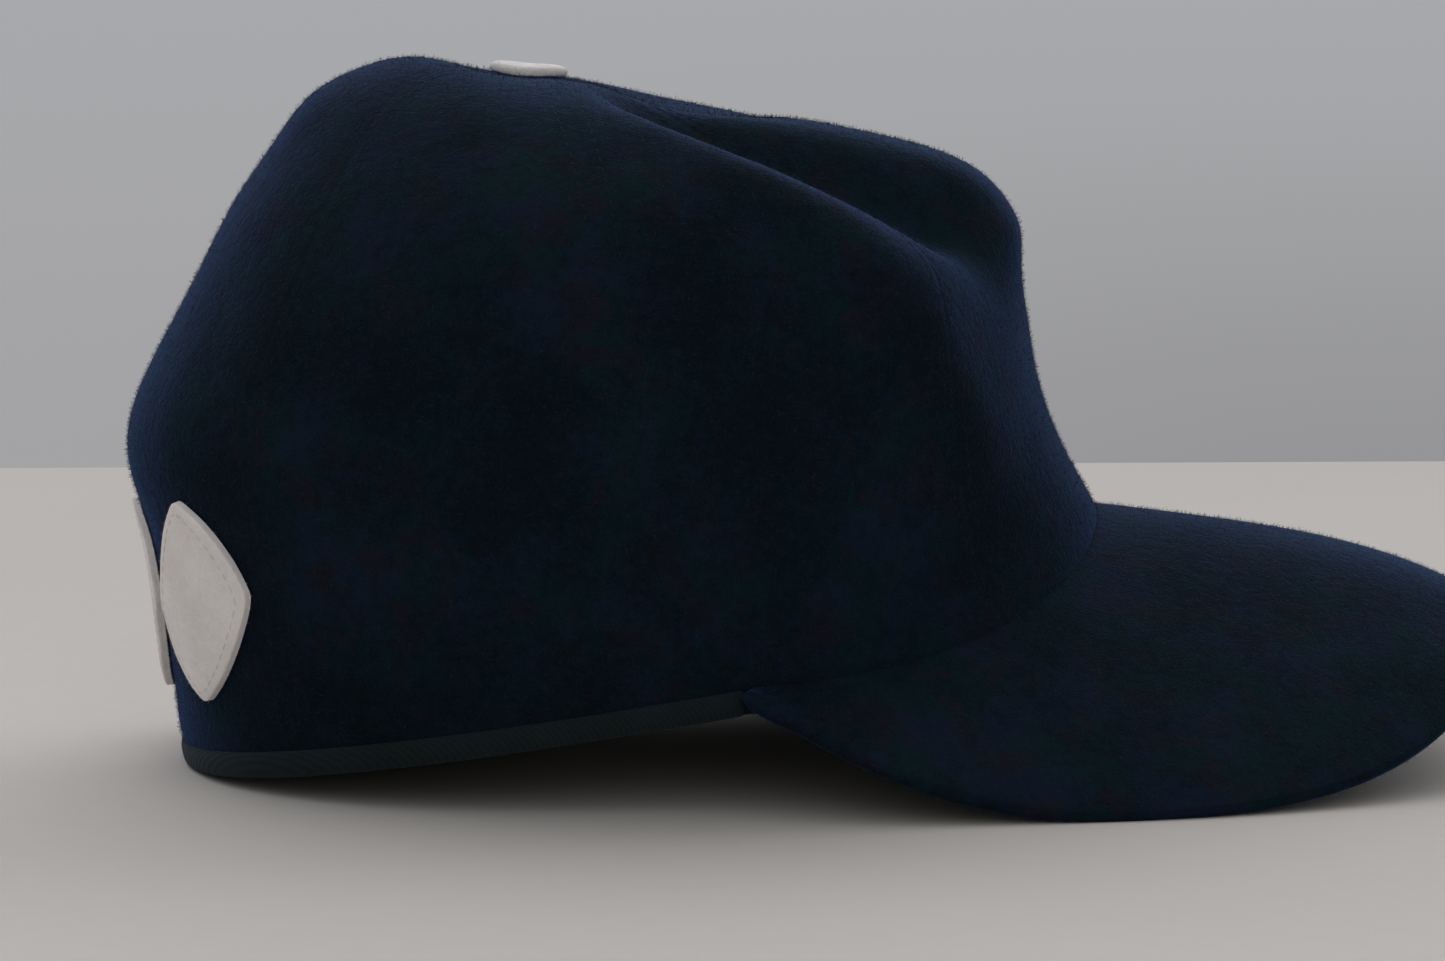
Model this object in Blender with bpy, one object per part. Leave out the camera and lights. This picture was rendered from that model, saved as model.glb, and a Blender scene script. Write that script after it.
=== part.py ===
# A soft wool cap of eight crown panels, as it lies by itself on a flat surface: the sweatband's lip at the
# back and both sides of the arched peak touch that surface, at z = 0.
# +X is where the peak points, +Y is the wearer's left, +Z is up, and lengths are in metres.
# The origin is on the surface, under the middle of the whole cap.

from math import asin, cos, pi, radians, sin

import bmesh
import bpy
import numpy as np

# Crown, measured on the outside of its cloth
RIM_LENGTH = 0.194
RIM_WIDTH = 0.164
CROWN_HEIGHT = 0.1455
BUTTON_SETBACK = 0.022
CLOTH = 0.002
PANEL_COUNT = 8
SEAM_GAP = 0.0003
LEVEL_HEM_UP = 0.08
APEX_HOLE_RADIUS = 0.003
DENT_DEPTH = 0.008
DENT_TOP = 0.94
DENT_FADE = 0.10

# Peak
PEAK_REACH = 0.084
PEAK_FLARE = 0.012
PEAK_THICKNESS = 0.0034
PEAK_CORNER_ANGLE = radians(80.5)
PEAK_CORNER_WIDTH = 0.004
PEAK_WIDEST = 0.056
PEAK_TIP_DROP = 0.0205
PEAK_SIDE_DROP = 0.051
PEAK_LOWEST = 0.090
PEAK_TIP_SPREAD = 1.9
PEAK_CAMBER = 0.010
SEAM_SLOPE = 0.49
SEAM_ROUND = 0.030
PEAK_EDGE_ROUND = 0.0018
PEAK_SQUARENESS = 2.3
PEAK_REST_FLAT = 0.0005
PEAK_SEAT_SHARE = 0.15

# Sweatband, with the lip that shows under the crown's edge
BAND_HEIGHT = 0.030
BAND_WALL = 0.0012
BAND_INSET = 0.0001
LIP_HEIGHT = 0.0055
LIP_REST_FLAT = 0.0003
LIP_TURN = 0.0017
LIP_CORNER_GAP = 0.0004
LIP_CORNER_RUN = 0.001
RIM_BOW = 0.90

# Button and lozenges
BUTTON_DIAMETER = 0.016
BUTTON_HEIGHT = 0.0026
LOZENGE_WIDTH = 0.036
LOZENGE_HEIGHT = 0.042
LOZENGE_THICKNESS = 0.002
LOZENGE_PITCH = 0.045
LOZENGE_UP = 0.19
LOZENGE_POINTEDNESS = 1.35

# Mesh fineness
PANEL_COLUMNS = 8
PANEL_ROWS = 19
ROW_CROWDING = 1.15
PEAK_COLUMNS = 40
BAND_SECTIONS = 64
BAND_ROWS = 5
ROUND_SIDES = 24
BISECTIONS = 24
RUN_STEPS = 200

NAVY_WOOL = (0.0075, 0.0115, 0.020)
GREY_BAND = (0.0095, 0.0125, 0.016)
CREAM_FELT = (0.56, 0.52, 0.46)

# Rings of the crown from the rim, where "up" is 0, to the button, where it is 1. Middle is how far the ring's
# middle has moved back, as a share of BUTTON_SETBACK. Front and back are its reach from there, as shares of
# half the rim's length, and side is a share of half its width. The three heights are shares of the crown's
# height, on top of what the rim's own height adds.
SECTION_COLUMNS = (
    "up", "middle", "front", "back", "side", "squareness", "front_height", "side_height", "back_height",
)
SECTIONS = (
    (0.00, 0.00, 0.990, 0.974, 1.000, 2.25, 0.000, 0.000, 0.000),
    (0.12, 0.05, 0.917, 0.989, 1.020, 2.25, 0.188, 0.165, 0.129),
    (0.25, 0.10, 0.884, 1.011, 1.030, 2.20, 0.355, 0.335, 0.286),
    (0.40, 0.20, 0.879, 1.039, 1.000, 2.15, 0.547, 0.525, 0.463),
    (0.55, 0.35, 0.895, 0.872, 0.920, 2.10, 0.712, 0.690, 0.660),
    (0.70, 0.50, 0.764, 0.694, 0.740, 2.05, 0.834, 0.836, 0.840),
    (0.82, 0.68, 0.500, 0.500, 0.500, 2.00, 0.898, 0.926, 0.962),
    (0.92, 0.88, 0.265, 0.245, 0.240, 2.00, 0.918, 0.966, 0.999),
    (0.97, 0.97, 0.099, 0.091, 0.090, 2.00, 0.964, 0.967, 0.977),
    (1.00, 1.00, 0.000, 0.000, 0.000, 2.00, 0.969, 0.969, 0.969),
)

# Dents and soft folds of the crown: the angle round it from the front in degrees, positive on the left, how
# far up, the degrees that it leans on its way up, how far it reaches both ways, and its depth as a share of
# DENT_DEPTH, where outwards is negative.
DENT_COLUMNS = ("angle", "up", "lean", "angle_reach", "up_reach", "depth")
DENTS = (
    (-50, 0.78, -80, 17, 0.19, 1.10),
    (-31, 0.58, -60, 12, 0.17, 1.00),
    (-54, 0.50, -55, 9, 0.24, -0.55),
    (20, 0.66, 40, 15, 0.15, 0.45),
    (44, 0.60, 40, 16, 0.20, -0.20),
)

# Outlines of the button and of a lozenge, from the middle of the underside round the edge to the top: each
# ring's size and height as shares of the piece's own
PROFILE_COLUMNS = ("size", "height")
BUTTON_PROFILE = (
    (0.25, 0.00), (0.60, 0.00), (0.92, 0.00), (1.00, 0.18), (1.00, 0.45), (0.94, 0.72), (0.78, 0.88),
    (0.50, 0.97), (0.20, 1.00),
)
LOZENGE_PROFILE = (
    (0.30, 0.00), (0.65, 0.00), (0.96, 0.00), (1.00, 0.25), (1.00, 0.70), (0.94, 1.00), (0.65, 1.00),
    (0.30, 1.00),
)

# The peak's rows from the seam, where the share is 0, to where its edge starts to round off
PEAK_ROW_SHARES = (0.0, 0.06, 0.16, 0.30, 0.46, 0.62, 0.78, 0.91, 1.0)
PEAK_EDGE_TURNS = (30, 58, 80)


STOPS, *SECTION_VALUES = np.array(SECTIONS).T
SECTION_SLOPES = np.array([np.gradient(values, STOPS) for values in SECTION_VALUES])
SECTION_VALUES = np.array(SECTION_VALUES)


def section(up):
    # The columns of SECTIONS at this share of the way up, each a smooth curve through its rows
    row = np.clip(np.searchsorted(STOPS, up, side="right") - 1, 0, len(STOPS) - 2)
    width = STOPS[row + 1] - STOPS[row]
    share = (up - STOPS[row]) / width
    rest = 1 - share
    curves = (
        (1 + 2 * share) * rest**2 * SECTION_VALUES[:, row]
        + share * rest**2 * width * SECTION_SLOPES[:, row]
        + share**2 * (3 - 2 * share) * SECTION_VALUES[:, row + 1]
        - share**2 * rest * width * SECTION_SLOPES[:, row + 1]
    )
    return dict(zip(SECTION_COLUMNS[1:], curves))


def signed_power(value, exponent):
    return np.sign(value) * np.abs(value) ** exponent


def unit(vectors):
    return vectors / np.linalg.norm(vectors, axis=-1, keepdims=True)


def ring_xy(angle, ring):
    # A ring of the crown seen from above
    exponent = 2 / ring["squareness"]
    forward = signed_power(np.cos(angle), exponent)
    reach = np.where(forward > 0, ring["front"], ring["back"]) * RIM_LENGTH / 2
    x = reach * forward - BUTTON_SETBACK * ring["middle"]
    y = ring["side"] * RIM_WIDTH / 2 * signed_power(np.sin(angle), exponent)
    return x, y


RIM = section(np.array(0.0))
RIM_FRONT_X = float(ring_xy(0.0, RIM)[0])
RIM_BACK_X = float(ring_xy(pi, RIM)[0])
CORNER_X, CORNER_Y = ring_xy(PEAK_CORNER_ANGLE, RIM)


# The peak's plan and height: it is PEAK_FLARE wider on each side than where its corners end

PEAK_TIP_X = RIM_FRONT_X + PEAK_REACH
PEAK_HALF_WIDTH = CORNER_Y + PEAK_CORNER_WIDTH + PEAK_FLARE


def peak_outline(share):
    # The peak's free edge seen from above, from its right corner at -1 to its left corner at 1
    end_angle = pi - asin((PEAK_HALF_WIDTH - PEAK_FLARE) / PEAK_HALF_WIDTH)
    back_reach = (PEAK_WIDEST - CORNER_X) / abs(cos(end_angle))
    angle = share * end_angle
    ahead = np.cos(angle) > 0
    exponent = np.where(ahead, 2 / PEAK_SQUARENESS, 1.0)
    reach = np.where(ahead, PEAK_TIP_X - PEAK_WIDEST, back_reach)
    x = PEAK_WIDEST + reach * signed_power(np.cos(angle), exponent)
    y = PEAK_HALF_WIDTH * signed_power(np.sin(angle), exponent)
    return x, y


def seam_drop(y):
    # How far the seam on the peak lies below its middle, this far to one side
    return SEAM_SLOPE * (np.hypot(y, SEAM_ROUND) - SEAM_ROUND)


def edge_drop(x, y):
    # How far the peak's free edge lies below the seam's middle: least at the corners, most at its sides
    wide = np.minimum(np.abs(y) / PEAK_HALF_WIDTH, 1)
    drop = PEAK_SIDE_DROP + (PEAK_TIP_DROP - PEAK_SIDE_DROP) * (1 - wide**2) ** PEAK_TIP_SPREAD
    behind = np.clip((PEAK_LOWEST - x) / (PEAK_LOWEST - CORNER_X), 0, 1)
    side = PEAK_SIDE_DROP + (seam_drop(CORNER_Y) - PEAK_SIDE_DROP) * behind**2
    return np.where(x > PEAK_LOWEST, drop, side)


def peak_relative(share, out):
    # A point of the peak's upper side, with its height above the seam's middle. It is this share of the way
    # round from the middle to a corner, and this share of the way out along a nearly straight line
    seam_x, seam_y = ring_xy(share * PEAK_CORNER_ANGLE, RIM)
    edge_x, edge_y = peak_outline(share)
    drop = seam_drop(seam_y) * (1 - out) + edge_drop(edge_x, edge_y) * out
    camber = PEAK_CAMBER * np.cos(share * pi / 2) ** 2 * (out - out**4)
    x = seam_x * (1 - out) + edge_x * out
    y = seam_y * (1 - out) + edge_y * out
    return np.stack([x, y, camber - drop], -1)


def peak_normal(share, out):
    step = 1e-4
    round_way = peak_relative(share + step, out) - peak_relative(share - step, out)
    out_way = peak_relative(share, out + step) - peak_relative(share, out - step)
    return unit(np.cross(out_way, round_way))


def peak_rows():
    # The two sides of the peak row by row out to its rounded edge, with heights above the seam's middle. Near
    # the seam its thickness is measured straight down, to meet the level seat under the crown's cloth
    shares = np.linspace(-1, 1, PEAK_COLUMNS + 1)
    seam = peak_relative(shares, np.zeros_like(shares))
    edge = peak_relative(shares, np.ones_like(shares))
    turn_radius = PEAK_EDGE_ROUND / np.linalg.norm(edge - seam, axis=-1)
    upper = []
    lower = []
    rows = [(share, 0) for share in PEAK_ROW_SHARES] + [(1.0, turn) for turn in PEAK_EDGE_TURNS]
    for share, turn in rows:
        out = share * (1 - turn_radius) + turn_radius * sin(radians(turn))
        top = peak_relative(shares, out)
        normal = peak_normal(shares, out)
        blend = min(share / PEAK_SEAT_SHARE, 1)
        way = unit(normal * blend + np.array((0, 0, 1)) * (1 - blend))
        bottom = top - way * PEAK_THICKNESS / np.sum(way * normal, -1)[:, None]
        half = (1 - cos(radians(turn))) / 2
        upper.append(top + (bottom - top) * half)
        lower.append(bottom + (top - bottom) * half)
    return shares, np.array(upper), np.array(lower)


PEAK_SHARES, PEAK_UPPER, PEAK_LOWER = peak_rows()

# The middle of the front seam, held up by the sides of the peak, which are slightly flattened on the surface
SEAM_HEIGHT = -float(PEAK_LOWER[..., 2].min()) - PEAK_REST_FLAT


def edge_height(angle):
    # The lower edge of the crown's cloth: on the peak in front, and on the sweatband's lip elsewhere
    x, y = ring_xy(angle, RIM)
    corner_z = SEAM_HEIGHT - seam_drop(CORNER_Y)
    back_z = LIP_HEIGHT - SEAM_GAP - LIP_REST_FLAT
    share = np.clip((x - RIM_BACK_X) / (CORNER_X - RIM_BACK_X), 0, 1)
    behind = back_z + (corner_z - back_z) * share**RIM_BOW
    return SEAM_GAP + np.where(x > CORNER_X, SEAM_HEIGHT - seam_drop(y), behind)


# The crown's surface

def plain_crown(angle, up):
    # The crown's outer surface without its dents
    ring = section(up)
    x, y = ring_xy(angle, ring)
    forward = np.cos(angle)
    front = ring["front_height"] - ring["side_height"]
    back = ring["back_height"] - ring["side_height"]
    share = ring["side_height"] + np.where(forward > 0, front, back) * forward**2
    z = CROWN_HEIGHT * share + edge_height(angle) * (1 - up) ** 2
    return np.stack([x, y, z], -1)


def normal_of(surface, angle, up):
    step = 1e-4
    lower = np.clip(up - step, 0, 1)
    upper = np.clip(up + step, 0, 1 - step)
    round_way = surface(angle + step, up) - surface(angle - step, up)
    up_way = surface(angle, upper) - surface(angle, lower)
    return unit(np.cross(round_way, up_way))


def crown(angle, up):
    # The crown's outer surface, whose dents fade out below the button
    depth = np.zeros_like(up)
    for row in DENTS:
        dent = dict(zip(DENT_COLUMNS, row))
        rise = up - dent["up"]
        middle = np.radians(dent["angle"] + dent["lean"] * rise)
        turn = np.degrees(np.angle(np.exp(1j * (angle - middle))))
        away = (turn / dent["angle_reach"]) ** 2 + (rise / dent["up_reach"]) ** 2
        depth = depth + dent["depth"] * DENT_DEPTH * np.exp(-away)
    calm = np.clip((DENT_TOP - up) / DENT_FADE, 0, 1)
    depth = depth * calm**2 * (3 - 2 * calm)
    return plain_crown(angle, up) - normal_of(plain_crown, angle, up) * depth[..., None]


def inward(angle, up, depth):
    # A point this deep inside the crown's surface. At the rim the way in is level, so that edges meet there
    normal = normal_of(crown, angle, up)
    level = unit(normal * (1, 1, 0))
    blend = np.clip(up / LEVEL_HEM_UP, 0, 1)[..., None]
    way = unit(level * (1 - blend) + normal * blend)
    return crown(angle, up) - way * (depth / np.sum(way * normal, -1))[..., None]


def rim_point(angle, depth, drop):
    # A point this deep inside the rim and this far below the cloth's edge, but never below the surface
    point = inward(angle, np.zeros_like(angle), depth)
    point[..., 2] = np.maximum(edge_height(angle) - drop, 0)
    return point


def run_along(points):
    # How far along a line of points each of them lies
    steps = np.linalg.norm(np.diff(points, axis=0), axis=-1)
    return np.concatenate([[0], np.cumsum(steps)])


def share_at_radius(angle, radius):
    # How far up the crown's surface comes this near the button's axis
    low = np.full_like(angle, 0.7)
    high = np.ones_like(angle)
    axis = np.array((-BUTTON_SETBACK, 0))
    for _ in range(BISECTIONS):
        middle = (low + high) / 2
        outside = np.linalg.norm(crown(angle, middle)[..., :2] - axis, axis=-1) > radius
        low = np.where(outside, middle, low)
        high = np.where(outside, high, middle)
    return low


def share_at_height(angle, height):
    # How far up the crown's surface is this much higher than the cloth's edge
    low = np.zeros_like(angle)
    high = np.full_like(angle, 0.7)
    edge = crown(angle, low)[..., 2]
    for _ in range(BISECTIONS):
        middle = (low + high) / 2
        below = crown(angle, middle)[..., 2] - edge < height
        low = np.where(below, middle, low)
        high = np.where(below, high, middle)
    return low


# Making solids

def finish(name, mesh, material, parent):
    bmesh.ops.recalc_face_normals(mesh, faces=mesh.faces)
    data = bpy.data.meshes.new(name)
    mesh.to_mesh(data)
    mesh.free()
    data.materials.append(material)
    data.shade_smooth()
    data.set_sharp_from_angle(angle=radians(40))
    item = bpy.data.objects.new(name, data)
    bpy.context.scene.collection.objects.link(item)
    item.parent = parent
    return item


def slab(name, outer, inner, material, parent):
    # A closed wall between two grids of points. Each step round its border is two triangles, split from the
    # lower row's outer corner to the upper row's inner one, so that the borders of neighbours fit each other
    mesh = bmesh.new()
    rows, columns = outer.shape[:2]
    sheets = [[[mesh.verts.new(p) for p in row] for row in grid] for grid in (outer, inner)]
    for sheet in sheets:
        for r in range(rows - 1):
            for c in range(columns - 1):
                mesh.faces.new((sheet[r][c], sheet[r][c + 1], sheet[r + 1][c + 1], sheet[r + 1][c]))
    border = [(0, c) for c in range(columns)]
    border += [(r, columns - 1) for r in range(1, rows)]
    border += [(rows - 1, c) for c in range(columns - 2, -1, -1)]
    border += [(r, 0) for r in range(rows - 2, 0, -1)]
    for (r, c), (next_r, next_c) in zip(border, border[1:] + border[:1]):
        corners = [sheets[0][r][c], sheets[0][next_r][next_c], sheets[1][next_r][next_c], sheets[1][r][c]]
        if next_r < r:
            corners = corners[1:] + corners[:1]
        mesh.faces.new(corners[:3])
        mesh.faces.new((corners[0], corners[2], corners[3]))
    return finish(name, mesh, material, parent)


def loft(name, rings, material, parent, closed=False):
    # Bridges ring after ring. It goes round to the first one again, or fans each end to its middle
    mesh = bmesh.new()
    loops = [[mesh.verts.new(p) for p in ring] for ring in rings]
    pairs = list(zip(loops, loops[1:]))
    if closed:
        pairs.append((loops[-1], loops[0]))
    for loop, other in pairs:
        count = len(loop)
        for i in range(count):
            j = (i + 1) % count
            mesh.faces.new((loop[i], loop[j], other[j], other[i]))
    if not closed:
        for loop, ring in ((loops[0], rings[0]), (loops[-1], rings[-1])):
            middle = mesh.verts.new(np.mean(ring, 0))
            for i in range(len(loop)):
                mesh.faces.new((loop[i], loop[(i + 1) % len(loop)], middle))
    return finish(name, mesh, material, parent)


def make_material(name, colour, roughness):
    material = bpy.data.materials.new(name)
    material.use_nodes = True
    shader = material.node_tree.nodes["Principled BSDF"]
    shader.inputs["Base Color"].default_value = (*colour, 1)
    shader.inputs["Roughness"].default_value = roughness
    shader.inputs["Metallic"].default_value = 0
    return material


# The pieces

def make_panel(name, start, material, parent):
    # One gore from the rim to the small hole under the button, clear of its neighbours by the seam's gap. Its
    # rows come closer to each other on their way up
    end = start + 2 * pi / PANEL_COUNT
    shares = 1 - np.linspace(1, 0, PANEL_ROWS + 1) ** ROW_CROWDING
    step = 1e-4
    edges = []
    for edge, way in ((start, 1), (end, -1)):
        angle = np.full_like(shares, edge)
        ups = shares * share_at_radius(angle[:1], APEX_HOLE_RADIUS)
        seam = crown(angle, ups)
        seam_way = unit(np.gradient(seam, axis=0))
        round_way = (crown(angle + way * step, ups) - seam) / step
        away = np.linalg.norm(np.cross(round_way, seam_way), axis=-1)
        edges.append(angle + way * SEAM_GAP / 2 / away)
    across = np.linspace(0, 1, PANEL_COLUMNS + 1)
    angles = edges[0][:, None] * (1 - across) + edges[1][:, None] * across
    ups = shares[:, None] * share_at_radius(angles[-1], APEX_HOLE_RADIUS)
    outer = crown(angles, ups)
    inner = inward(angles, ups, CLOTH)
    inner[0] = rim_point(angles[0], CLOTH, 0)
    return slab(name, outer, inner, material, parent)


def make_peak(material, parent):
    # It starts under the crown's cloth, and its free edge is rounded off
    seat = rim_point(PEAK_SHARES * PEAK_CORNER_ANGLE, CLOTH - SEAM_GAP, SEAM_GAP)
    seat_depth = PEAK_UPPER[0, :, 2] - PEAK_LOWER[0, :, 2]
    seat_lower = seat - seat_depth[:, None] * (0, 0, 1)
    raised = np.array((0, 0, SEAM_HEIGHT))
    upper = np.concatenate([[seat], PEAK_UPPER + raised])
    lower = np.concatenate([[seat_lower], PEAK_LOWER + raised])
    lower[..., 2] = np.maximum(lower[..., 2], 0)
    return slab("peak", upper, lower, material, parent)


def make_sweatband(material, parent):
    # One ring of cross-sections: the strip inside the crown, and outside the peak's span the lip below it
    seat = CLOTH + SEAM_GAP
    full = seat + BAND_WALL
    corner = PEAK_CORNER_ANGLE + LIP_CORNER_GAP / (RIM_WIDTH / 2)
    lip_start = corner + LIP_CORNER_RUN / (RIM_WIDTH / 2)
    inside = np.linspace(-corner, corner, round(BAND_SECTIONS * corner / pi))
    outside = np.linspace(lip_start, 2 * pi - lip_start, BAND_SECTIONS - len(inside))
    angles = np.concatenate([inside, outside])
    lip = np.where(angles <= corner, seat - BAND_INSET, 0.0)
    turn = np.minimum((full - lip) / 3, LIP_TURN)
    top_up = share_at_height(angles, BAND_HEIGHT)
    rings = [
        rim_point(angles, lip, SEAM_GAP),
        rim_point(angles, lip, LIP_HEIGHT - LIP_TURN),
        rim_point(angles, lip + turn, LIP_HEIGHT),
        rim_point(angles, full - turn, LIP_HEIGHT),
        rim_point(angles, full, LIP_HEIGHT - LIP_TURN),
        rim_point(angles, full, 0.0),
    ]
    ups = [top_up * row / BAND_ROWS for row in range(1, BAND_ROWS + 1)]
    rings += [inward(angles, up, full) for up in ups]
    rings += [inward(angles, up, seat) for up in reversed(ups)]
    rings.append(rim_point(angles, seat, SEAM_GAP))
    return loft("sweatband", np.stack(rings, 1), material, parent, closed=True)


def make_button(material, parent):
    # A covered button that sits on the crown where its panels meet
    angles = np.linspace(0, 2 * pi, ROUND_SIDES, endpoint=False)
    rings = []
    for row in BUTTON_PROFILE:
        ring = dict(zip(PROFILE_COLUMNS, row))
        ups = share_at_radius(angles, ring["size"] * BUTTON_DIAMETER / 2)
        raised = SEAM_GAP + ring["height"] * BUTTON_HEIGHT
        rings.append(crown(angles, ups) + normal_of(crown, angles, ups) * raised)
    return loft("top_button", rings, material, parent)


def make_lozenge(name, place, material, parent):
    # A felt lozenge with soft corners that lies on the back of the crown, this far round from its middle
    turns = np.linspace(0, 2 * pi, ROUND_SIDES, endpoint=False)
    exponent = 2 / LOZENGE_POINTEDNESS
    wide = LOZENGE_WIDTH / 2 * signed_power(np.cos(turns), exponent)
    high = LOZENGE_HEIGHT / 2 * signed_power(np.sin(turns), exponent)
    step = 1e-3
    round_angles = np.linspace(pi, 2 * pi, RUN_STEPS)
    round_run = run_along(crown(round_angles, np.full_like(round_angles, LOZENGE_UP)))
    up_speed = np.linalg.norm(
        crown(np.array([pi]), np.array([LOZENGE_UP + step])) - crown(np.array([pi]), np.array([LOZENGE_UP]))
    )
    rings = []
    for row in LOZENGE_PROFILE:
        ring = dict(zip(PROFILE_COLUMNS, row))
        run = place + wide * ring["size"]
        angles = pi + np.sign(run) * (np.interp(abs(run), round_run, round_angles) - pi)
        ups = LOZENGE_UP + high * ring["size"] * step / up_speed
        raised = SEAM_GAP + ring["height"] * LOZENGE_THICKNESS
        rings.append(crown(angles, ups) + normal_of(crown, angles, ups) * raised)
    return loft(name, rings, material, parent)


def main():
    for item in list(bpy.data.objects):
        bpy.data.objects.remove(item)
    cap = bpy.data.objects.new("cap", None)
    bpy.context.scene.collection.objects.link(cap)

    crown_wool = make_material("crown_wool", NAVY_WOOL, 0.95)
    peak_wool = make_material("peak_wool", NAVY_WOOL, 0.95)
    band_cloth = make_material("band_cloth", GREY_BAND, 0.85)
    button_felt = make_material("button_felt", CREAM_FELT, 0.9)
    lozenge_felt = make_material("lozenge_felt", CREAM_FELT, 0.95)

    pieces = []
    per_side = PANEL_COUNT // 2
    for i in range(PANEL_COUNT):
        number = i + 1 if i < per_side else PANEL_COUNT - i
        side = "left" if i < per_side else "right"
        name = f"crown_panel_{side}_{number}"
        pieces.append(make_panel(name, i * 2 * pi / PANEL_COUNT, crown_wool, cap))
    pieces.append(make_peak(peak_wool, cap))
    pieces.append(make_sweatband(band_cloth, cap))
    pieces.append(make_button(button_felt, cap))
    for name, place in (("right", LOZENGE_PITCH), ("middle", 0.0), ("left", -LOZENGE_PITCH)):
        pieces.append(make_lozenge(f"felt_lozenge_{name}", place, lozenge_felt, cap))

    corners = np.array([v.co for item in pieces for v in item.data.vertices])
    middle = (corners.min(0) + corners.max(0)) / 2
    cap.location = (-middle[0], -middle[1], 0)


main()
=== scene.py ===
# A dark wool fitted cap lying on a pale table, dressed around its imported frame.
# Lengths are in metres, in the frame's own axes: the peak points along +X, up is +Z.

from math import atan, pi, radians

import bmesh
import bpy
import numpy as np
from mathutils import Euler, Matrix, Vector, noise
from mathutils.bvhtree import BVHTree
from mathutils.kdtree import KDTree


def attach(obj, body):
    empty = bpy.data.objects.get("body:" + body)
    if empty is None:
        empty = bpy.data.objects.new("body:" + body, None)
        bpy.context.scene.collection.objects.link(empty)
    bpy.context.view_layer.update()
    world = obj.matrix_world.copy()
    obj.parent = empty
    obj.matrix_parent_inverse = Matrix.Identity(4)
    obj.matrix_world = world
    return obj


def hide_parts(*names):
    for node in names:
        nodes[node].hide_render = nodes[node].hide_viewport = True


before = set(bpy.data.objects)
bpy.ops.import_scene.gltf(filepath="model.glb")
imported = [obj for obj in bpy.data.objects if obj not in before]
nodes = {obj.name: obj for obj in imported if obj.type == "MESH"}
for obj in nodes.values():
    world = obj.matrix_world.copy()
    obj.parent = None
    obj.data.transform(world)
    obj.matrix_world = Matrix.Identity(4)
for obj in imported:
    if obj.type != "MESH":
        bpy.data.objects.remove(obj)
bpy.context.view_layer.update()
print("frame loaded,", len(nodes), "nodes")

# Camera and light
view = {
    "imageWidth": 1445,
    "imageHeight": 961,
    "focalPixels": 4560,
    "sensor": 36.0,
    "place": (-0.0687, -0.9496, 0.146),
    "turn": 3.0,  # degrees towards +X
    "horizonRow": 54,  # the eye level's row in the image
    "nearest": 0.05,
    "farthest": 20,
}

drop = atan((view["imageHeight"] / 2 - view["horizonRow"]) / view["focalPixels"])
lens = bpy.data.cameras.new("camera")
lens.sensor_width = view["sensor"]
lens.lens = view["sensor"] * view["focalPixels"] / view["imageWidth"]
lens.clip_start = view["nearest"]
lens.clip_end = view["farthest"]
camera = bpy.data.objects.new("camera", lens)
bpy.context.scene.collection.objects.link(camera)
camera.location = view["place"]
camera.rotation_euler = Euler((pi / 2 - drop, 0, -radians(view["turn"])))
bpy.context.scene.camera = camera

light = {
    "wallLeft": (0.368, 0.364, 0.374),
    "wallRight": (0.298, 0.298, 0.308),
    "wallAbove": (0.392, 0.396, 0.412),
    "ceiling": (0.40, 0.41, 0.43),
    "behindCamera": (1.08, 1.10, 1.09),
    "sides": (0.13, 0.13, 0.14),  # low on both sides, outside the picture
    "highWindow": (1.70, 1.80, 2.00),  # above the far wall, outside the picture
    "windowRise": ((0.12, 0.35), (0.9, 0.7)),  # it starts and ends softly between these, upwards
    "windowAway": (0.2, 0.5),  # and starts between these, away from the camera
    "keyPlace": (-0.35, 1.7, 2.8),
    "keySize": 4.4,
    "keyPower": 36,
    "keyColour": (1.0, 0.97, 0.95),
}


class Wire:
    # A socket's value that can be added and multiplied
    def __init__(self, kit, socket):
        self.kit = kit
        self.socket = socket

    def math(self, operation, other):
        return self.kit.node("Math", {"operation": operation}, {0: self, 1: other})

    def __add__(self, other):
        return self.math("ADD", other)

    def __mul__(self, other):
        return self.math("MULTIPLY", other)


class NodeKit:
    # Adds nodes to a tree, and wires them up
    def __init__(self, tree):
        self.tree = tree

    def node(self, kind, settings=None, sockets=None, output=0):
        item = self.tree.nodes.new("ShaderNode" + kind)
        for key, value in (settings or {}).items():
            setattr(item, key, value)
        for key, value in (sockets or {}).items():
            if isinstance(value, Wire):
                self.tree.links.new(value.socket, item.inputs[key])
            else:
                item.inputs[key].default_value = value
        return Wire(self, item.outputs[output])

    def between(self, value, low, high):
        # 0 at low, 1 at high, smooth in between
        sockets = {"Value": value, "From Min": low, "From Max": high}
        return self.node("MapRange", {"interpolation_type": "SMOOTHSTEP"}, sockets)

    def blend(self, factor, first, second):
        ends = [(*c, 1) if isinstance(c, tuple) else c for c in (first, second)]
        return self.node("Mix", {"data_type": "RGBA"}, {0: factor, 6: ends[0], 7: ends[1]}, output=2)


room = bpy.data.worlds.new("room")
room.use_nodes = True
bpy.context.scene.world = room
bpy.context.scene.view_settings.view_transform = "Standard"
roomKit = NodeKit(room.node_tree)
wayOut = roomKit.node("TexCoord", output=0)
across, away, upwards = (roomKit.node("SeparateXYZ", {}, {0: wayOut}, output=i) for i in range(3))
walls = roomKit.blend(roomKit.between(across, -0.10, 0.20), light["wallLeft"], light["wallRight"])
roomParts = (  # each one takes over from the others between these two values of a direction
    (upwards, -0.10, 0.02, "wallAbove"),
    (away, 0.3, -0.6, "behindCamera"),
    (across * across, 0.08, 0.4, "sides"),
    (upwards, 0.25, 0.75, "ceiling"),
)
for direction, start, end, part in roomParts:
    walls = roomKit.blend(roomKit.between(direction, start, end), walls, light[part])
window = roomKit.between(away, *light["windowAway"])
for limits in light["windowRise"]:
    window = window * roomKit.between(upwards, *limits)
walls = roomKit.blend(window, walls, light["highWindow"])
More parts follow.
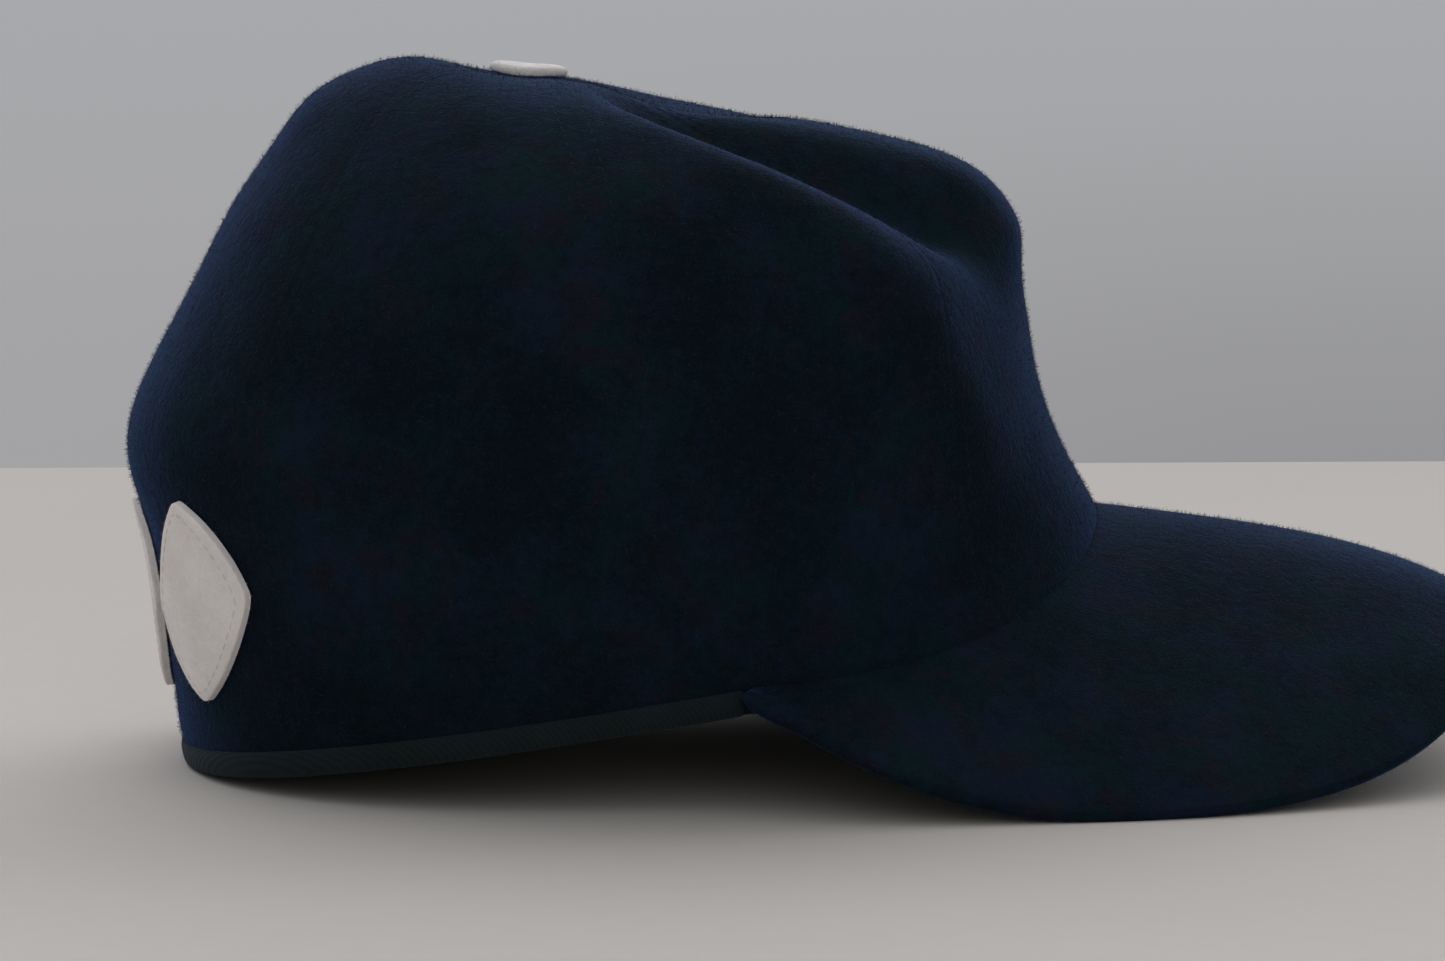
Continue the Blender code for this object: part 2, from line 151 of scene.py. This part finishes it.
room.node_tree.links.new(walls.socket, room.node_tree.nodes["Background"].inputs["Color"])

keyLamp = bpy.data.lights.new("key", "AREA")
keyLamp.shape = "DISK"
keyLamp.size = light["keySize"]
keyLamp.energy = light["keyPower"]
keyLamp.color = light["keyColour"]
key = bpy.data.objects.new("key", keyLamp)
bpy.context.scene.collection.objects.link(key)
key.location = light["keyPlace"]
key.rotation_euler = (-Vector(light["keyPlace"])).to_track_quat("-Z", "Y").to_euler()


class Finish(NodeKit):
    # A material that is put together node by node
    def __init__(self, name, roughness, sheen=0.0, sheenRoughness=0.4, sheenTint=(1, 1, 1), specular=0.3):
        self.material = bpy.data.materials.new(name)
        self.material.use_nodes = True
        super().__init__(self.material.node_tree)
        self.shader = self.tree.nodes["Principled BSDF"]
        self.shader.inputs["Roughness"].default_value = roughness
        self.shader.inputs["Sheen Weight"].default_value = sheen
        self.shader.inputs["Sheen Roughness"].default_value = sheenRoughness
        self.shader.inputs["Sheen Tint"].default_value = (*sheenTint, 1)
        self.shader.inputs["Specular IOR Level"].default_value = specular
        self.place = self.node("TexCoord", output=3)

    def grain(self, scale, detail=2.0, roughness=0.6, stretch=(1, 1, 1)):
        mapped = self.node("Mapping", {}, {"Vector": self.place, "Scale": stretch})
        sockets = {"Vector": mapped, "Scale": scale, "Detail": detail, "Roughness": roughness}
        return self.node("TexNoise", {}, sockets)

    def bump(self, height, distance):
        return self.node("Bump", {}, {"Height": height, "Distance": distance, "Strength": 1.0})

    def use(self, socket, wire):
        self.tree.links.new(wire.socket, self.shader.inputs[socket])


def woolFinish(name, look):
    # Flannel with a soft nap: clouded colour, fine fibres and a few paler ones
    finish = Finish(name, 0.95, look["sheen"], look["sheenRoughness"], look["sheenTint"], specular=0.05)
    cloud = finish.grain(30, 4)
    patch = finish.grain(75, 3, 0.6)
    warmth = finish.grain(110, 3, 0.6)
    fibre = finish.grain(1700, 2, 0.7)
    strand = finish.grain(900, 3, 0.75, (1.0, 1.0, 0.6))
    tuft = finish.grain(420, 3, 0.65)
    tone = cloud * 0.5 + fibre * 0.25 + tuft * 0.25
    pale = finish.blend(finish.between(patch, 0.42, 0.56), look["light"], look["tealLight"])
    pale = finish.blend(finish.between(warmth, 0.52, 0.62), pale, look["warmLight"])
    base = finish.blend(finish.between(tone, 0.37, 0.63), look["dark"], pale)
    flecks = finish.between(strand, 0.63, 0.76)
    finish.use("Base Color", finish.blend(flecks * 0.4, base, look["fleck"]))
    height = fibre * 0.45 + strand * 0.2 + tuft * 0.6
    finish.use("Normal", finish.bump(height, 0.0005))
    return finish.material


def napFinish(name, dark, pale):
    # The fibres that stand out of the cloth
    finish = Finish(name, 0.9, sheen=0.1, sheenTint=(0.6, 0.78, 1.0), specular=0.1)
    shade = finish.grain(650, 2, 0.7)
    finish.use("Base Color", finish.blend(finish.between(shade, 0.38, 0.66), dark, pale))
    return finish.material


def feltFinish(name, dark, pale):
    finish = Finish(name, 0.95, sheen=0.2, sheenRoughness=0.5, sheenTint=(1.0, 0.96, 0.9), specular=0.1)
    cloud = finish.grain(70, 3)
    fibre = finish.grain(2300, 3, 0.7)
    tuft = finish.grain(600, 2, 0.6)
    tone = cloud * 0.5 + fibre * 0.25 + tuft * 0.25
    finish.use("Base Color", finish.blend(finish.between(tone, 0.36, 0.64), dark, pale))
    finish.use("Normal", finish.bump(fibre * 0.4 + tuft * 0.6, 0.0006))
    return finish.material


def wovenFinish(name, dark, pale, pitch):
    # Twill tape or thread: fine diagonal ribs
    finish = Finish(name, 0.9, sheen=0.06, sheenRoughness=0.5, sheenTint=(0.6, 0.75, 1.0), specular=0.12)
    ribs = finish.node(
        "TexWave",
        {"wave_type": "BANDS", "bands_direction": "DIAGONAL", "wave_profile": "SIN"},
        {"Vector": finish.place, "Scale": 0.3 / pitch, "Distortion": 1.2, "Detail": 2.0},
    )
    fibre = finish.grain(2600, 2, 0.7)
    cloud = finish.grain(60, 3)
    tone = ribs * 0.15 + fibre * 0.45 + cloud * 0.4
    finish.use("Base Color", finish.blend(finish.between(tone, 0.3, 0.7), dark, pale))
    finish.use("Normal", finish.bump(ribs * 0.4 + fibre * 0.6, 0.0002))
    return finish.material


def tableFinish():
    # Plain and pale, with painted shade that darkens it nearer to the wall
    finish = Finish("table", 0.85, specular=0.0)
    cloud = finish.grain(2.2, 3)
    fine = finish.grain(160, 3)
    tone = cloud * 0.8 + fine * 0.2
    pale = finish.blend(finish.between(tone, 0.3, 0.7), table["dark"], table["light"])
    away = finish.node("SeparateXYZ", {}, {0: finish.place}, output=1)
    # painted shade: the table darkens towards its far edge, where the wall keeps light off it
    paintedWallShade = finish.between(away, 0.0, table["high"][1]) * table["farShare"]
    finish.use("Base Color", finish.blend(paintedWallShade, pale, table["far"]))
    finish.use("Normal", finish.bump(fine, 0.0001))
    return finish.material


wool = {
    "dark": (0.0030, 0.0068, 0.0102),
    "light": (0.0078, 0.0150, 0.0310),
    "tealLight": (0.0050, 0.0170, 0.0215),
    "warmLight": (0.0118, 0.0124, 0.0205),
    "fleck": (0.016, 0.032, 0.066),
    "sheen": 0.30,
    "sheenRoughness": 0.27,
    "sheenTint": (0.17, 0.36, 1.0),
}
tones = {  # the dark and the pale one
    "nap_wool": ((0.004, 0.008, 0.016), (0.018, 0.034, 0.070)),
    "nap_felt": ((0.72, 0.69, 0.64), (0.90, 0.87, 0.82)),
    "navy_thread": ((0.0030, 0.0060, 0.0100), (0.0070, 0.0120, 0.0200)),
    "band_cloth": ((0.0056, 0.0104, 0.0114), (0.0120, 0.0200, 0.0225)),
    "lozenge_felt": ((0.84, 0.775, 0.745), (0.95, 0.885, 0.855)),
    "cream_thread": ((0.62, 0.57, 0.51), (0.78, 0.73, 0.66)),
    "button_felt": ((0.64, 0.60, 0.575), (0.80, 0.75, 0.725)),
}
pitches = {"navy_thread": 0.0004, "band_cloth": 0.0006}
crownWool = woolFinish("crown_wool", wool)
peakWool = woolFinish("peak_wool", wool)
napWool, napFelt = (napFinish(name, *tones[name]) for name in ("nap_wool", "nap_felt"))
navyThread, bandCloth = (wovenFinish(name, *tones[name], pitch) for name, pitch in pitches.items())
feltNames = ("lozenge_felt", "cream_thread", "button_felt")
lozengeFelt, creamThread, buttonCloth = (feltFinish(name, *tones[name]) for name in feltNames)

# The table, whose far edge makes the line behind the cap
table = {
    "low": (-2.5, -2.4),
    "high": (2.5, 0.67),
    "dark": (0.556, 0.520, 0.479),
    "light": (0.596, 0.558, 0.516),
    # the far tone is painted shade from the wall close behind the table
    "far": (0.42, 0.392, 0.364),
    "farShare": 0.35,  # how much of the painted wall shade the far edge has
    "gap": 0.00005,  # between the table and what lies on it
}
bpy.ops.object.select_all(action="DESELECT")
bpy.ops.mesh.primitive_grid_add(x_subdivisions=10, y_subdivisions=8, size=1)
floor = bpy.context.active_object
floor.name = "floor"
size = [table["high"][i] - table["low"][i] for i in (0, 1)]
middle = [(table["high"][i] + table["low"][i]) / 2 for i in (0, 1)]
bpy.ops.object.mode_set(mode="EDIT")
bpy.ops.transform.resize(value=(size[0], size[1], 1))
bpy.ops.transform.translate(value=(middle[0], middle[1], 0))
bpy.ops.object.mode_set(mode="OBJECT")
floor.data.materials.append(tableFinish())
print("table, light and finishes ready")


# Tools for modelling
def choose(*items):
    bpy.ops.object.select_all(action="DESELECT")
    for item in items:
        item.select_set(True)
    bpy.context.view_layer.objects.active = items[0]


def addPiece(name, mesh):
    piece = bpy.data.objects.new(name, mesh)
    bpy.context.scene.collection.objects.link(piece)
    return piece


def patternOf(nodeName, name):
    # A copy of a node's mesh with its loose triangles merged back into quads
    piece = addPiece(name, nodes[nodeName].data.copy())
    choose(piece)
    bpy.ops.object.mode_set(mode="EDIT")
    bpy.ops.mesh.select_all(action="SELECT")
    bpy.ops.mesh.remove_doubles(threshold=1e-5)
    bend = radians(60)
    bpy.ops.mesh.tris_convert_to_quads(face_threshold=bend, shape_threshold=pi, topology_influence=1.0)
    bpy.ops.object.mode_set(mode="OBJECT")
    for key in [a.name for a in piece.data.attributes]:
        if key.startswith("sharp") or key == "custom_normal":
            piece.data.attributes.remove(piece.data.attributes[key])
    return piece


def pointsOf(mesh, kind="co"):
    points = np.empty(len(mesh.vertices) * 3)
    mesh.vertices.foreach_get(kind, points)
    return points.reshape(-1, 3)


def movePoints(mesh, points):
    mesh.vertices.foreach_set("co", points.ravel())
    mesh.update()


def keepOffTable(points):
    # What would reach into the table lies on it
    points[:, 2] = np.maximum(points[:, 2], table["gap"])
    return points


def smoothOut(piece, levels, rounds=5):
    # Finer and smooth, and still through the coarse mesh's own points
    wanted = pointsOf(piece.data)
    control = wanted.copy()
    choose(piece)
    modifier = piece.modifiers.new("smooth", "SUBSURF")
    modifier.levels = modifier.render_levels = levels
    for _ in range(rounds):
        movePoints(piece.data, control)
        smoothed = piece.evaluated_get(bpy.context.evaluated_depsgraph_get())
        control += wanted - pointsOf(smoothed.data)[: len(wanted)]
    movePoints(piece.data, control)
    bpy.ops.object.modifier_apply(modifier=modifier.name)
    movePoints(piece.data, keepOffTable(pointsOf(piece.data)))
    piece.data.shade_smooth()


def dress(piece, material, slotName, *replaced):
    piece.data.materials.clear()
    piece.data.materials.append(material)
    for face in piece.data.polygons:
        face.material_index = 0
    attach(piece, "root")
    if replaced:
        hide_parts(*replaced)


def surfaceOf(piece):
    return BVHTree.FromPolygons(pointsOf(piece.data).tolist(), [p.vertices for p in piece.data.polygons])


def treeOf(points):
    tree = KDTree(len(points))
    for i, point in enumerate(points):
        tree.insert(point, i)
    tree.balance()
    return tree


def smoothLine(points, spacing, closed=False, steps=12):
    # A rounded line through the points, read at even steps
    points = np.array(points)
    count = len(points)
    dense = []
    for i in range(count if closed else count - 1):
        near = [i - 1, i, i + 1, i + 2]
        near = [k % count for k in near] if closed else [min(max(k, 0), count - 1) for k in near]
        a, b, c, d = points[near]
        squared = 2 * a - 5 * b + 4 * c - d
        cubed = 3 * b - a - 3 * c + d
        for t in np.linspace(0, 1, steps, endpoint=False):
            dense.append(0.5 * (2 * b + (c - a) * t + squared * t**2 + cubed * t**3))
    dense.append(points[0] if closed else points[-1])
    dense = np.array(dense)
    run = np.concatenate([[0], np.cumsum(np.linalg.norm(np.diff(dense, axis=0), axis=1))])
    places = np.linspace(0, run[-1], max(int(run[-1] / spacing), 2) + 1)
    return np.stack([np.interp(places, run, dense[:, k]) for k in range(3)], 1)


# The crown: eight gores that become one cloth, with a sunk seam between each two
crown = {
    "partners": 0.00042,  # how far apart two gores' matching points may be
    "nearby": 14,  # how many points near each one are tried as its partner
    "hemFacing": -0.7,  # the upright part of the hem faces' normals is below this
    "hemBelow": 0.06,  # and so is their height
    "seamShare": 36,  # percent of the first column on each side of a seam that gets finer
    "seamColumns": 4,
    "seamStep": 0.0003,  # between the places on a seam that distances are measured from
    "valleyDepth": 0.00010,
    "valleyWidth": 0.0008,
    "rowAway": 0.0027,  # the stitched rows beside a seam press the cloth in
    "rowDepth": 0.00004,
    "rowWidth": 0.0006,
    "heart": (-0.037, 0, 0.065),  # a point inside the head hollow
    "waves": ((18, 0.0009), (45, 0.0004), (110, 0.00012)),  # waves per metre and their height
    "wavesFrom": (3, 0, 0),  # another start gives other waves
    "calmHem": 0.03,  # the waves fade out over this height above the rim
}
heart = np.array(crown["heart"])


def hemOf(mesh):
    # The points of the crown's lower outer edge, in order round it
    hem = set()
    for face in mesh.faces:
        if face.normal.z < crown["hemFacing"] and face.calc_center_median().z < crown["hemBelow"]:
            hem.update(v for v in face.verts if v.normal.dot(v.co - Vector((*heart[:2], v.co.z))) > 0)
    hem = np.array([v.co[:] for v in hem])
    return hem[np.argsort(np.arctan2(hem[:, 1], hem[:, 0] - heart[0]))]


def joinPanels():
    # One mesh of all gores, without the walls between them, and its seams and hem
    panelNames = [f"crown_panel_{side}_{i}" for side in ("left", "right") for i in (1, 2, 3, 4)]
    panels = []
    for i, nodeName in enumerate(panelNames):
        piece = patternOf(nodeName, "panel")
        mark = piece.data.attributes.new("panel", "INT", "POINT")
        mark.data.foreach_set("value", [i] * len(piece.data.vertices))
        panels.append(piece)
    choose(*panels)
    bpy.ops.object.join()
    cloth = panels[0]
    cloth.name = "crown_cloth"
    mesh = bmesh.new()
    mesh.from_mesh(cloth.data)
    mesh.verts.ensure_lookup_table()
    layer = mesh.verts.layers.int["panel"]
    tree = treeOf([v.co for v in mesh.verts])
    mesh.normal_update()
    outward = {v: v.normal.dot(v.co - Vector(heart)) > 0 for v in mesh.verts}
    goal = {}
    taken = set()
    seams = {}
    for v in mesh.verts:
        if v in taken:
            continue
        for _, index, distance in tree.find_n(v.co, crown["nearby"]):
            other = mesh.verts[index]
            if distance < crown["partners"] and other[layer] != v[layer] and other not in taken:
                goal[other] = v
                taken.update((v, other))
                v.co = (v.co + other.co) / 2
                pair = tuple(sorted((v[layer], other[layer])))
                seams.setdefault((pair, outward[v]), []).append(v)
                break
    kept = {v for group in seams.values() for v in group}
    bmesh.ops.weld_verts(mesh, targetmap=goal)
    walls = [f for f in mesh.faces if all(v in kept for v in f.verts)]
    bmesh.ops.delete(mesh, geom=walls, context="FACES")
    for edge in mesh.edges:
        edge.seam = all(v in kept for v in edge.verts)
    lines = []
    for (_, outer), group in seams.items():
        if outer:
            lines.append([v.co.copy() for v in sorted(group, key=lambda v: v.co.z)])
    mesh.normal_update()
    hem = hemOf(mesh)
    openEdges = sum(len(edge.link_faces) != 2 for edge in mesh.edges)
    mesh.to_mesh(cloth.data)
    mesh.free()
    print("gores joined at", len(lines), "seams,", len(walls), "walls out,", openEdges, "open edges")
    print("seam points", [len(line) for line in lines], "hem points", len(hem))
    return cloth, lines, hem


crownCloth, seamLines, hemLine = joinPanels()
crownForm = addPiece("crown_form", crownCloth.data.copy())
smoothOut(crownForm, levels=3)
formSurface = surfaceOf(crownForm)
bpy.data.objects.remove(crownForm)


def snapToForm(points):
    return np.array([formSurface.find_nearest(p)[0] for p in points.tolist()])


def hemHeight(points):
    # The hem's height on the side where each point is
    angles = np.arctan2(hemLine[:, 1], hemLine[:, 0] - heart[0])
    wanted = np.arctan2(points[:, 1], points[:, 0] - heart[0])
    return np.interp(wanted, angles, hemLine[:, 2], period=2 * pi)


def softWaves(points):
    # Soft unevenness of cloth, the same for all that lies on the crown
    rise = np.clip((points[:, 2] - hemHeight(points)) / crown["calmHem"], 0, 1)
    push = np.zeros(len(points))
    shift = Vector(crown["wavesFrom"])
    for perMetre, height in crown["waves"]:
        push += height * np.array([noise.noise(Vector(p) * perMetre + shift) for p in points.tolist()])
    ways = points - heart
    ways /= np.linalg.norm(ways, axis=1)[:, None]
    return points + ways * (push * rise**2 * (3 - 2 * rise))[:, None]


def sinkSeams(cloth):
    # Finer columns beside each seam, then its valley and the pressed rows
    choose(cloth)
    bpy.ops.object.mode_set(mode="EDIT")
    bpy.ops.mesh.select_mode(type="EDGE")
    mesh = bmesh.from_edit_mesh(cloth.data)
    for edge in mesh.edges:
        edge.select = edge.seam
    bmesh.update_edit_mesh(cloth.data)
    share, columns = crown["seamShare"], crown["seamColumns"]
    bpy.ops.mesh.bevel(offset_type="PERCENT", offset_pct=share, segments=columns, affect="EDGES")
    bpy.ops.object.mode_set(mode="OBJECT")
    movePoints(cloth.data, snapToForm(pointsOf(cloth.data)))
    smoothOut(cloth, levels=2)
    movePoints(cloth.data, snapToForm(pointsOf(cloth.data)))
    points = pointsOf(cloth.data)
    normals = pointsOf(cloth.data, "normal")
    lines = treeOf(np.concatenate([smoothLine(line, crown["seamStep"]) for line in seamLines]))
    away = np.array([lines.find(p)[2] for p in points.tolist()])
    outer = np.einsum("ij,ij->i", normals, points - heart) > 0
    depth = crown["valleyDepth"] * np.exp(-((away / crown["valleyWidth"]) ** 2))
    depth += crown["rowDepth"] * np.exp(-(((away - crown["rowAway"]) / crown["rowWidth"]) ** 2))
    movePoints(cloth.data, points - normals * (depth * outer)[:, None])


sinkSeams(crownCloth)
movePoints(crownCloth.data, softWaves(pointsOf(crownCloth.data)))
dress(crownCloth, crownWool, "crown_wool", *[name for name in nodes if name.startswith("crown_panel")])
crownSurface = surfaceOf(crownCloth)
print("crown done,", len(crownCloth.data.polygons), "faces")

# The peak, covered in the same wool, and the sweatband with its turned lower edge
peakCloth = patternOf("peak", "peak_cloth")
smoothOut(peakCloth, levels=2)
dress(peakCloth, peakWool, "peak_wool", "peak")
bandPiece = patternOf("sweatband", "sweatband_cloth")
smoothOut(bandPiece, levels=2)
dress(bandPiece, bandCloth, "band_cloth", "sweatband")
print("peak and sweatband done")

# The covered button and the felt lozenges follow the crown's own unevenness
buttonPiece = patternOf("top_button", "covered_button")
smoothOut(buttonPiece, levels=2)
movePoints(buttonPiece.data, softWaves(pointsOf(buttonPiece.data)))
dress(buttonPiece, buttonCloth, "button_felt", "top_button")

lozengePieces = []
for side in ("left", "middle", "right"):
    lozenge = patternOf(f"felt_lozenge_{side}", f"lozenge_{side}")
    smoothOut(lozenge, levels=2)
    movePoints(lozenge.data, softWaves(pointsOf(lozenge.data)))
    dress(lozenge, lozengeFelt, "lozenge_felt", f"felt_lozenge_{side}")
    lozengePieces.append(lozenge)
print("button and lozenges done")

# Stitches: one is modelled, and laid again and again along the rows
stitch = {
    "length": 0.0021,
    "thickness": 0.00036,
    "pitch": 0.0030,
    "feltPitch": 0.0026,
    "fromHem": 0.004,
    "fromButton": 0.0095,  # measured from the button's middle
    "feltInset": 0.0021,
    "feltSides": 72,  # how many places on a lozenge's edge its row follows
    "feltTop": 0.002,
    "searchFrom": 0.004,  # felt is looked for from this far under the cloth
    "searchReach": 0.012,
    "sunk": 0.6,  # share of the thickness that is below the cloth
}
bpy.ops.object.select_all(action="DESELECT")
bpy.ops.mesh.primitive_uv_sphere_add(segments=6, ring_count=5, radius=0.5)
oneStitch = bpy.context.active_object
bpy.ops.object.mode_set(mode="EDIT")
bpy.ops.transform.rotate(value=pi / 2, orient_axis="Y", center_override=(0, 0, 0))
bpy.ops.transform.resize(value=(stitch["length"], stitch["thickness"], stitch["thickness"]))
bpy.ops.object.mode_set(mode="OBJECT")
stitchPoints = pointsOf(oneStitch.data)
stitchFaces = sorted(list(p.vertices) for p in oneStitch.data.polygons)  # in the same order each run
bpy.data.objects.remove(oneStitch)


def layStitches(name, rows, surface, material, slotName):
    # Each row is a list of places and the ways that the thread runs there
    places = []
    ways = []
    normals = []
    for rowPlaces, rowWays in rows:
        for place, way in zip(rowPlaces.tolist(), rowWays):
            spot, normal = surface.find_nearest(place)[:2]
            if normal.dot(spot - Vector(heart)) > 0:
                places.append(spot[:])
                ways.append(way)
                normals.append(normal[:])
    places, ways, normals = (np.array(group) for group in (places, ways, normals))
    ways = ways - normals * np.einsum("ij,ij->i", ways, normals)[:, None]
    ways /= np.linalg.norm(ways, axis=1)[:, None]
    sides = np.cross(normals, ways)
    centres = places + normals * stitch["thickness"] * (0.5 - stitch["sunk"])
    axes = np.stack([ways, sides, normals], 1)
    points = np.einsum("pk,skj->spj", stitchPoints, axes) + centres[:, None]
    count = len(stitchPoints)
    faces = [[v + i * count for v in face] for i in range(len(places)) for face in stitchFaces]
    mesh = bpy.data.meshes.new(name)
    mesh.from_pydata(points.reshape(-1, 3).tolist(), [], faces)
    piece = addPiece(name, mesh)
    mesh.shade_smooth()
    dress(piece, material, slotName)
    print(name, len(places), "stitches")


def rowBeside(line, away, pitch):
    # A row of places at an even distance beside a line on the crown
    places = smoothLine(line, pitch)
    ways = np.gradient(places, axis=0)
    normals = np.array([crownSurface.find_nearest(p)[1][:] for p in places.tolist()])
    sides = np.cross(normals, ways)
    sides /= np.linalg.norm(sides, axis=1)[:, None]
    return places + sides * away, ways


feltSurfaces = [surfaceOf(lozenge) for lozenge in lozengePieces]
buttonMiddle = pointsOf(buttonPiece.data).mean(0)


def bare(place):
    # Whether no felt lies over this place, and it is clear of the button
    out = (Vector(place) - Vector(heart)).normalized()
    start = Vector(place) - out * stitch["searchFrom"]
    covered = any(felt.ray_cast(start, out, stitch["searchReach"])[0] for felt in feltSurfaces)
    return not covered and np.hypot(*(place - buttonMiddle)[:2]) > stitch["fromButton"]


seamRows = []
for line in seamLines:
    for sign in (-1, 1):
        places, ways = rowBeside(line, sign * crown["rowAway"], stitch["pitch"])
        above = places[:, 2] - hemHeight(places) > stitch["fromHem"]
        keep = above & np.array([bare(p) for p in places])
        seamRows.append((places[keep], ways[keep]))
layStitches("crown_stitches", seamRows, crownSurface, navyThread, "crown_wool")


def rowInside(lozenge):
    # A closed row of places at an even distance inside a lozenge's edge
    points = pointsOf(lozenge.data)
    centre = points.mean(0)
    out = centre - heart
    out /= np.linalg.norm(out)
    sideways = np.cross((0, 0, 1), out)
    sideways /= np.linalg.norm(sideways)
    up = np.cross(out, sideways)
    flat = np.stack([(points - centre) @ sideways, (points - centre) @ up], 1)
    turns = np.arctan2(flat[:, 1], flat[:, 0])
    reach = np.hypot(flat[:, 0], flat[:, 1])
    sides = stitch["feltSides"]
    sectors = np.floor((turns + pi) / (2 * pi) * sides).astype(int) % sides
    edge = np.array([points[sectors == k][reach[sectors == k].argmax()] for k in range(sides)])
    inset = 1 - stitch["feltInset"] / np.linalg.norm(edge - centre, axis=1)
    inner = centre + (edge - centre) * inset[:, None]
    row = smoothLine(inner, stitch["feltPitch"], closed=True)[:-1] + out * stitch["feltTop"]
    return row, np.roll(row, -1, axis=0) - np.roll(row, 1, axis=0)


for lozenge, felt in zip(lozengePieces, feltSurfaces):
    layStitches(lozenge.name + "_stitches", [rowInside(lozenge)], felt, creamThread, "lozenge_felt")


# The nap: short wool fibres that stand out of the cloth, each one bent blade
nap = {
    "length": (0.0003, 0.0012),
    "width": 0.00007,
    "lean": (0.2, 1.2),  # from the cloth's normal, in radians
    "knee": 0.55,  # the share of its length at which a fibre bends
    "curl": (-0.2, 0.6),  # how far its tip goes sideways, as a share of its length
    "rooted": 0.0001,  # how deep it starts in the cloth
    "stray": 0.01,  # how dense the fibres are where few belong, beside 1 elsewhere
    "crownNear": 92000,  # how many fibres there are here, and on each of the next
    "crownFar": 74000,
    "peak": 68000,
    "band": 9000,
    "felt": 3500,
    "feltLength": (0.0002, 0.0006),
    "seeds": {"crownNear": 11, "crownFar": 12, "peak": 13, "band": 17, "felt": 14},
}


def addNap(name, piece, amount, length, material, slotName, keep=None, seedStep=0):
    count = nap[amount]
    mesh = piece.data
    mesh.calc_loop_triangles()
    points = pointsOf(mesh)
    triangles = np.empty(len(mesh.loop_triangles) * 3, dtype=np.int32)
    mesh.loop_triangles.foreach_get("vertices", triangles)
    triangles = triangles.reshape(-1, 3)
    a, b, c = (points[triangles[:, k]] for k in range(3))
    normals = np.cross(b - a, c - a)
    areas = np.linalg.norm(normals, axis=1)
    normals = normals / np.maximum(areas, 1e-12)[:, None]
    if keep is not None:
        areas = areas * keep((a + b + c) / 3, normals)
    draw = np.random.default_rng(nap["seeds"][amount] + seedStep)
    picked = draw.choice(len(areas), count, p=areas / areas.sum())
    u, v = draw.random(count), draw.random(count)
    fold = u + v > 1
    u[fold], v[fold] = 1 - u[fold], 1 - v[fold]
    root = a[picked] + (b - a)[picked] * u[:, None] + (c - a)[picked] * v[:, None]
    normal = normals[picked]
    side = np.cross(normal, draw.normal(size=(count, 3)))
    side /= np.linalg.norm(side, axis=1)[:, None]
    along = np.cross(side, normal)
    tilt = draw.uniform(*nap["lean"], count)[:, None]
    way = normal * np.cos(tilt) + along * np.sin(tilt)
    reach = (length[0] + (length[1] - length[0]) * draw.random(count) ** 2)[:, None]
    half = side * nap["width"] / 2
    middle = root + way * reach * nap["knee"]
    tip = root + (way + along * draw.uniform(*nap["curl"], count)[:, None]) * reach
    start = root - normal * nap["rooted"]
    verts = keepOffTable(np.stack([start, middle + half, middle - half, tip], 1).reshape(-1, 3))
    first = np.arange(count)[:, None] * 4
    faces = np.concatenate([first + (0, 1, 2), first + (2, 1, 3)], 1).reshape(-1, 3)
    fibres = bpy.data.meshes.new(name)
    fibres.from_pydata(verts.tolist(), [], faces.tolist())
    fibres.shade_smooth()
    dress(addPiece(name, fibres), material, slotName)


def facingOut(middles, normals):
    # 1 where a face looks away from the head hollow, 0 elsewhere
    return (np.einsum("ij,ij->i", middles - heart, normals) > 0).astype(float)


def nearSide(middles, normals):
    return facingOut(middles, normals) * (middles[:, 1] < 0) + nap["stray"]


def farSide(middles, normals):
    return facingOut(middles, normals) * (middles[:, 1] >= 0) + nap["stray"]


addNap("crown_nap_right", crownCloth, "crownNear", nap["length"], napWool, "crown_wool", nearSide)
addNap("crown_nap_left", crownCloth, "crownFar", nap["length"], napWool, "crown_wool", farSide)
addNap("peak_nap", peakCloth, "peak", nap["length"], napWool, "peak_wool")
addNap("band_nap", bandPiece, "band", nap["feltLength"], bandCloth, "band_cloth", facingOut)
for i, lozenge in enumerate(lozengePieces):
    napName = lozenge.name + "_nap"
    addNap(napName, lozenge, "felt", nap["feltLength"], napFelt, "lozenge_felt", seedStep=i)
print("nap done")
